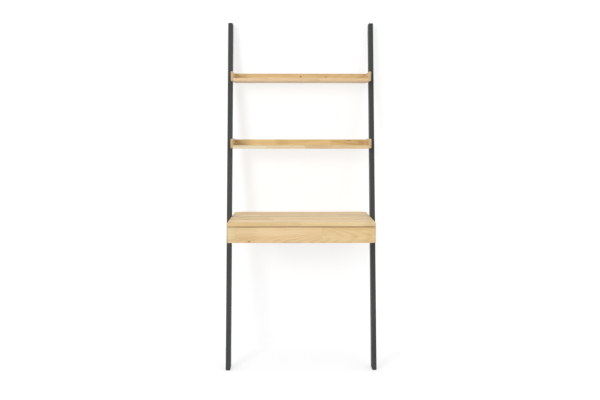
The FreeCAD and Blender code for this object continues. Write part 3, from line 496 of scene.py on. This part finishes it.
DESK_MARKS = [Mark(0.32, -0.226, 0.05, 0.02, 0.16)]
DRAWER_PIECES = [Piece(-0.5, STRAW), Piece(-0.2992, HONEY), Piece(0.0985, OCHRE)]
DRAWER_MARKS = [
    Mark(-0.242, 0.6425, 0.008, 0.004, 0.8),
    Mark(-0.05, 0.638, 0.09, 0.003, 0.3),
    Mark(-0.262, 0.6725, 0.08, 0.2, 0.1),
    Mark(0.34, 0.6725, 0.055, 0.2, 0.06),
]
DRAWER_ARCHES = [Arches(0.0985, 0.36, 0.662, 0.09, -0.09)]
BACK_PIECES = {
    "top": [Piece(-0.1612, PLAIN), Piece(0.1362, PLAIN)],
    "lower": [Piece(-0.1249, PLAIN), Piece(0.1559, AMBER)],
}
BACK_MARKS_AND_SHADE = {
    "top": [Mark(0.1, 1.4155, 0.035, 0.004, 0.3), Mark(0.128, 1.421, 0.011, 0.006, 0.3)],
    "lower": [
        Mark(0.243, 1.1027, 0.018, 0.003, 0.55),
        Mark(0.305, 1.089, 0.024, 0.02, 0.22),
        # Painted shadow: the left cheek's shade on the lower tray's back, darker towards the left end
        Mark(-0.331, 1.093, 0.115, 0.2, 0.22),
        Mark(-0.092, 1.093, 0.04, 0.1, 0.09),
        Mark(0.25, 1.093, 0.05, 0.1, 0.12),
    ],
}
BOARD_PIECES = {
    "top": [Piece(-0.1612, TAN), Piece(0.0929, PEACH)],
    "lower": [Piece(-0.5, PALE), Piece(-0.166, CREAM), Piece(0.0278, RUSSET), Piece(0.153, PLAIN)],
}


def board_looks():
    """The wood of each board in sight, by node."""
    plain = Wood("YZX", WHOLE_WIDTH, WHOLE_LENGTH, CHEEK, seed=33.0, variety=0.02)
    looks = {
        "desk_top": Wood("XYZ", stave_width=0.055, stave_length=0.394, tones=OAK, seed=1.0, variety=0.11,
                         marks=DESK_MARKS),
        "drawer_front": Wood("XZY", WHOLE_WIDTH, stave_length=0.4, tones=OAK, seed=8.0, variety=0.0,
                             pieces=DRAWER_PIECES, marks=DRAWER_MARKS, arches=DRAWER_ARCHES),
        "desk_back": Wood("XZY", WHOLE_WIDTH, stave_length=0.38, tones=OAK, seed=51.0),
        "wall_spacer": plain,
    }
    for index, shelf in enumerate(SHELVES):
        looks[f"{shelf}_shelf_board"] = Wood(
            "XYZ", stave_width=0.05, stave_length=0.36, tones=TRAY_BOARDS[shelf], seed=11.0 + index,
            pieces=BOARD_PIECES[shelf])
        looks[f"{shelf}_shelf_back"] = Wood(
            "XZY", stave_width=0.1, stave_length=0.36, tones=TRAY_BACKS[shelf], seed=21.0 + index,
            pieces=BACK_PIECES[shelf], marks=BACK_MARKS_AND_SHADE[shelf])
        for side in SIDES:
            looks[f"{shelf}_shelf_cheek_{side}"] = plain._replace(seed=31.0 + index)
    for index, side in enumerate(SIDES):
        looks[f"desk_side_{side}"] = Wood(
            "YZX", WHOLE_WIDTH, stave_length=0.37, tones=OAK, seed=41.0 + index)
    return looks


def dowel_looks():
    """The wood of the dowels, by node. One large stave covers them all."""
    beech = Wood("XYZ", stave_width=2.0, stave_length=4.0, tones=BEECH, seed=61.0, variety=0.0)
    return {name: beech for name in ("shelf_dowels", "desk_dowels", "drawer_dowels")}


def dress(material, *names):
    """Gives CAD nodes a material."""
    for name in names:
        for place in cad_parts[name].material_slots:
            place.material = material


def dress_all():
    for kind, looks in (("wood", board_looks()), ("beech", dowel_looks())):
        for name, wood in looks.items():
            dress(make_wood(f"{kind}_{name}", wood, *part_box(name)), name)
    dress(make_paint("rail_paint"), "rail_left", "rail_right")

    dress(make_plywood("drawer_side_ply", "YZX"), "drawer_side_left", "drawer_side_right")
    dress(make_plywood("drawer_end_ply", "XZY"), "drawer_box_front", "drawer_back")
    dress(make_plywood("drawer_floor_ply", "XYZ"), "drawer_bottom")

    zinc = make_metal("runner_zinc", RUNNER_ZINC)
    for side in SIDES:
        dress(zinc, f"runner_cabinet_{side}", f"runner_drawer_{side}")
        dress(zinc, f"ball_cage_{side}", f"runner_balls_{side}")
    dress(zinc, "cabinet_runner_screws", "drawer_runner_screws")
    dress(zinc, "drawer_front_screws", "drawer_bottom_screws")
    dress(make_metal("insert_zinc", INSERT_ZINC), "threaded_inserts")
    dress(make_metal("bolt_black", BOLT_BLACK), "rail_bolts")

    rubber = make_rubber("pad_rubber", *PAD_TONES)
    for side in SIDES:
        dress(rubber, f"floor_pad_{side}", f"wall_pad_{side}")
    dress(make_rubber("bumper_pale", *BUMPER_TONES), "drawer_bumpers")


# Studio: a pale floor that meets a pale wall in a small cove, and a dark disc of painted shade for the
# wall screw's hole
FLOOR_REACH = 7.0
WALL_WIDTH = 6.0
WALL_HEIGHT = 5.0
WALL_GAP = 0.0005
COVE_RADIUS = 0.04
COVE_STEPS = 12
HOLE_RADIUS = 0.004
HOLE_STEPS = 24
# The disc's dark tones are painted shade of the hole
HOLE_SHADE_TONES = (linear(40, 34, 28), linear(22, 18, 15))

# How bright floor and wall are in sight, near the desk and farther out, and what the floor throws back
BACKDROP_TONE = (0.42, 0.424, 0.432, 1.0)
WALL_GLOW = 0.68
SIDE_GLOW = 0.78
SIDE_START = 0.34
SIDE_END = 0.47
FLOOR_GLOW = 0.626
FLOOR_START = 0.9
FLOOR_END = 2.4
FLOOR_BOUNCE = (0.66, 0.66, 0.66, 1.0)

# Soft light from the left, less from the right, and plain light from above
WHITE = (1.0, 1.0, 1.0, 1.0)
WHITE_LEVEL = 1.0
AMBIENT_LEVEL = 0.1
AMBIENT_ABOVE = 1.25
LAMP_TARGET = Vector((0.0, 0.0, 1.0))
LAMP_DISTANCE = 5.0
Lamp = namedtuple("Lamp", "name azimuth height size power")
LAMPS = [Lamp("key", -31.0, 13.0, 1.7, 95.0), Lamp("fill", 38.0, 18.0, 2.4, 24.0)]


def seen_directly(shader):
    """1 for the camera and for what it sees in metal or glass, otherwise 0."""
    rays = shader.node("LightPath").outputs
    mirrored = shader.math("MAXIMUM", rays["Is Glossy Ray"], rays["Is Transmission Ray"])
    return shader.math("MAXIMUM", rays["Is Camera Ray"], mirrored)


def backdrop_material(name, see_through):
    """White in sight, with the desk's shadow. Clear from behind, and a wall lets other light through."""
    shader = Shader(name)
    shader.tree.nodes.remove(shader.surface)
    seen = seen_directly(shader)
    rear = shader.node("NewGeometry").outputs["Backfacing"]
    tone = shader.mix(seen, FLOOR_BOUNCE, BACKDROP_TONE)
    diffuse = shader.node("BsdfDiffuse", {"Color": tone}).outputs[0]
    place = shader.place()
    axis = shader.axes(place)
    floor_level = shader.ramp(shader.length(place), FLOOR_START, FLOOR_END, FLOOR_GLOW, SIDE_GLOW)
    aside = shader.math("ABSOLUTE", axis["X"])
    wall_level = shader.ramp(aside, SIDE_START, SIDE_END, WALL_GLOW, SIDE_GLOW)
    level = shader.ramp(axis["Z"], 0.0, COVE_RADIUS, floor_level, wall_level)
    glow = shader.node("Emission", {"Strength": shader.math("MULTIPLY", seen, level)}).outputs[0]
    white = shader.node("AddShader", {0: diffuse, 1: glow}).outputs[0]
    clear = shader.node("BsdfTransparent").outputs[0]
    hidden = rear
    if see_through:
        hidden = shader.math("MAXIMUM", rear, shader.math("SUBTRACT", 1.0, seen))
    shown = shader.node("MixShader", {0: hidden, 1: white, 2: clear}).outputs[0]
    shader.feed(shader.output.inputs["Surface"], shown)
    return shader.material


def new_mesh(name, points, faces, material):
    mesh = bpy.data.meshes.new(name)
    mesh.from_pydata(points, [], faces)
    mesh.materials.append(material)
    for face in mesh.polygons:
        face.use_smooth = True
    item = bpy.data.objects.new(name, mesh)
    bpy.context.scene.collection.objects.link(item)
    return item


def make_hole_shade_disc():
    """A flat dark disc on the wall behind the spacer that the wall screw goes through: painted shade for
    a hole.
    """
    low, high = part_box("wall_spacer")
    middle = Vector(low).lerp(Vector(high), 0.5)
    points = []
    for step in range(HOLE_STEPS):
        turn = 2 * math.pi * step / HOLE_STEPS
        aside = HOLE_RADIUS * math.cos(turn)
        upward = HOLE_RADIUS * math.sin(turn)
        points.append((middle.x + aside, WALL_Y, middle.z + upward))
    return new_mesh("wall_hole_shade_disc", points, [range(HOLE_STEPS)], make_rubber("hole_painted_shade", *HOLE_SHADE_TONES))


def make_floor():
    """A flat floor, a hair below the feet."""
    ways = [(-1, -1), (1, -1), (1, 1), (-1, 1)]
    points = [(FLOOR_REACH * right, FLOOR_REACH * back, -2 * WALL_GAP) for right, back in ways]
    return new_mesh("floor", points, [(0, 1, 2, 3)], backdrop_material("floor_white", False))


def make_wall():
    """A wall, a hair behind the desk, that curves into the floor."""
    wall_y = WALL_Y + WALL_GAP
    profile = []
    for step in range(COVE_STEPS + 1):
        angle = math.pi / 2 * step / COVE_STEPS
        inward = COVE_RADIUS * (1 - math.sin(angle))
        upward = COVE_RADIUS * (1 - math.cos(angle))
        profile.append((wall_y - inward, upward - WALL_GAP))
    profile.append((wall_y, WALL_HEIGHT))
    points = [(x, y, z) for y, z in profile for x in (-WALL_WIDTH, WALL_WIDTH)]
    firsts = range(0, 2 * len(profile) - 2, 2)
    faces = [(first, first + 1, first + 3, first + 2) for first in firsts]
    return new_mesh("wall", points, faces, backdrop_material("wall_white", True))


def make_backdrop():
    floor = make_floor()
    wall = make_wall()
    make_hole_shade_disc()


def make_lamp(lamp):
    """A round lamp that shines at the desk's middle."""
    data = bpy.data.lights.new(lamp.name, "AREA")
    data.shape = "DISK"
    data.size = lamp.size
    data.energy = lamp.power
    item = bpy.data.objects.new(lamp.name, data)
    bpy.context.scene.collection.objects.link(item)
    azimuth = math.radians(lamp.azimuth)
    height = math.radians(lamp.height)
    level = math.cos(height)
    way = Vector((math.sin(azimuth) * level, -math.cos(azimuth) * level, math.sin(height)))
    item.location = LAMP_TARGET + LAMP_DISTANCE * way
    item.rotation_euler = way.to_track_quat("Z", "Y").to_euler()


def make_world():
    """White in sight and in reflections. Its light on the desk grows from the horizon upwards."""
    world = bpy.data.worlds.new("studio")
    world.use_nodes = True
    bpy.context.scene.world = world
    nodes, links = world.node_tree.nodes, world.node_tree.links
    rays = nodes.new("ShaderNodeLightPath").outputs
    seen = rays["Is Camera Ray"]
    for kind in ("Is Glossy Ray", "Is Transmission Ray"):
        either = nodes.new("ShaderNodeMath")
        either.operation = "MAXIMUM"
        links.new(seen, either.inputs[0])
        links.new(rays[kind], either.inputs[1])
        seen = either.outputs[0]
    height = nodes.new("ShaderNodeSeparateXYZ").outputs["Z"]
    links.new(nodes.new("ShaderNodeTexCoord").outputs["Generated"], height.node.inputs[0])
    ambient = nodes.new("ShaderNodeMapRange")
    ambient.inputs["To Min"].default_value = AMBIENT_LEVEL
    ambient.inputs["To Max"].default_value = AMBIENT_ABOVE
    links.new(height, ambient.inputs["Value"])
    level = nodes.new("ShaderNodeMapRange")
    level.inputs["To Max"].default_value = WHITE_LEVEL
    links.new(seen, level.inputs["Value"])
    links.new(ambient.outputs[0], level.inputs["To Min"])
    background = nodes["Background"]
    background.inputs["Color"].default_value = WHITE
    links.new(level.outputs[0], background.inputs["Strength"])


def make_lights():
    for lamp in LAMPS:
        make_lamp(lamp)
    make_world()


# Camera: a little left of the middle, above the desk, looking slightly down
CAMERA_PLACE = Vector((-0.0440, -3.4186, 1.1586))
CAMERA_TURN = math.radians(0.654)
CAMERA_TILT = math.radians(-5.778)
CAMERA_ROLL = math.radians(0.041)
CAMERA_LENS = 42.0
SENSOR_WIDTH = 36.0


def make_camera():
    data = bpy.data.cameras.new("camera")
    data.sensor_fit = "HORIZONTAL"
    data.sensor_width = SENSOR_WIDTH
    data.lens = CAMERA_LENS
    camera = bpy.data.objects.new("camera", data)
    bpy.context.scene.collection.objects.link(camera)
    turn = Matrix.Rotation(-CAMERA_TURN, 4, "Z")
    tilt = Matrix.Rotation(math.pi / 2 + CAMERA_TILT, 4, "X")
    roll = Matrix.Rotation(CAMERA_ROLL, 4, "Z")
    camera.matrix_world = Matrix.Translation(CAMERA_PLACE) @ turn @ tilt @ roll
    bpy.context.scene.camera = camera


dress_all()
make_backdrop()
make_lights()
make_camera()
bpy.context.scene.view_settings.view_transform = "Standard"
